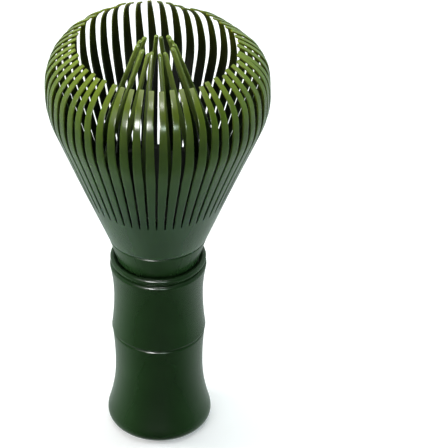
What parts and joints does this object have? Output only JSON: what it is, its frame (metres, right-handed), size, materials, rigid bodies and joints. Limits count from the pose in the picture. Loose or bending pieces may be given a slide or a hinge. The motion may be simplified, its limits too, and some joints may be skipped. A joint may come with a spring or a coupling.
{
  "type": "matcha tea whisk",
  "caption": "Moulded tea whisk: slit cage of curled tines round an inner cone of tines, on a waisted handle with a node ring that the head pulls out of.",
  "frame": {"origin": "centre of the handle's foot, on its resting face", "axes": "+Z along the whisk's own axis, from the foot to the tips of the tines; the front is -Y"},
  "size_m": [0.0593, 0.0592, 0.122],
  "materials": {
    "handle_resin": "semi-gloss moulded resin, very dark green",
    "base_resin": "fine matt moulded resin, very dark green",
    "neck_resin": "semi-gloss moulded resin, very dark green",
    "seal_rubber": "soft black silicone",
    "head_resin": "semi-gloss moulded resin, dark olive green",
    "insert_resin": "semi-gloss moulded resin, dark olive green"
  },
  "bodies": {
    "handle": {"handle_shell": "handle_resin", "handle_base_disc": "base_resin"},
    "whisk_head": {"outer_whisk_head": "head_resin", "inner_whisk_insert": "insert_resin", "neck_plug": "neck_resin", "neck_seal_ring": "seal_rubber"}
  },
  "joints": [
    {"name": "head_pull", "type": "slide", "parent": "handle", "child": "whisk_head", "axis": [0, 0, 1], "range_m": [0, 0.02]}
  ]
}
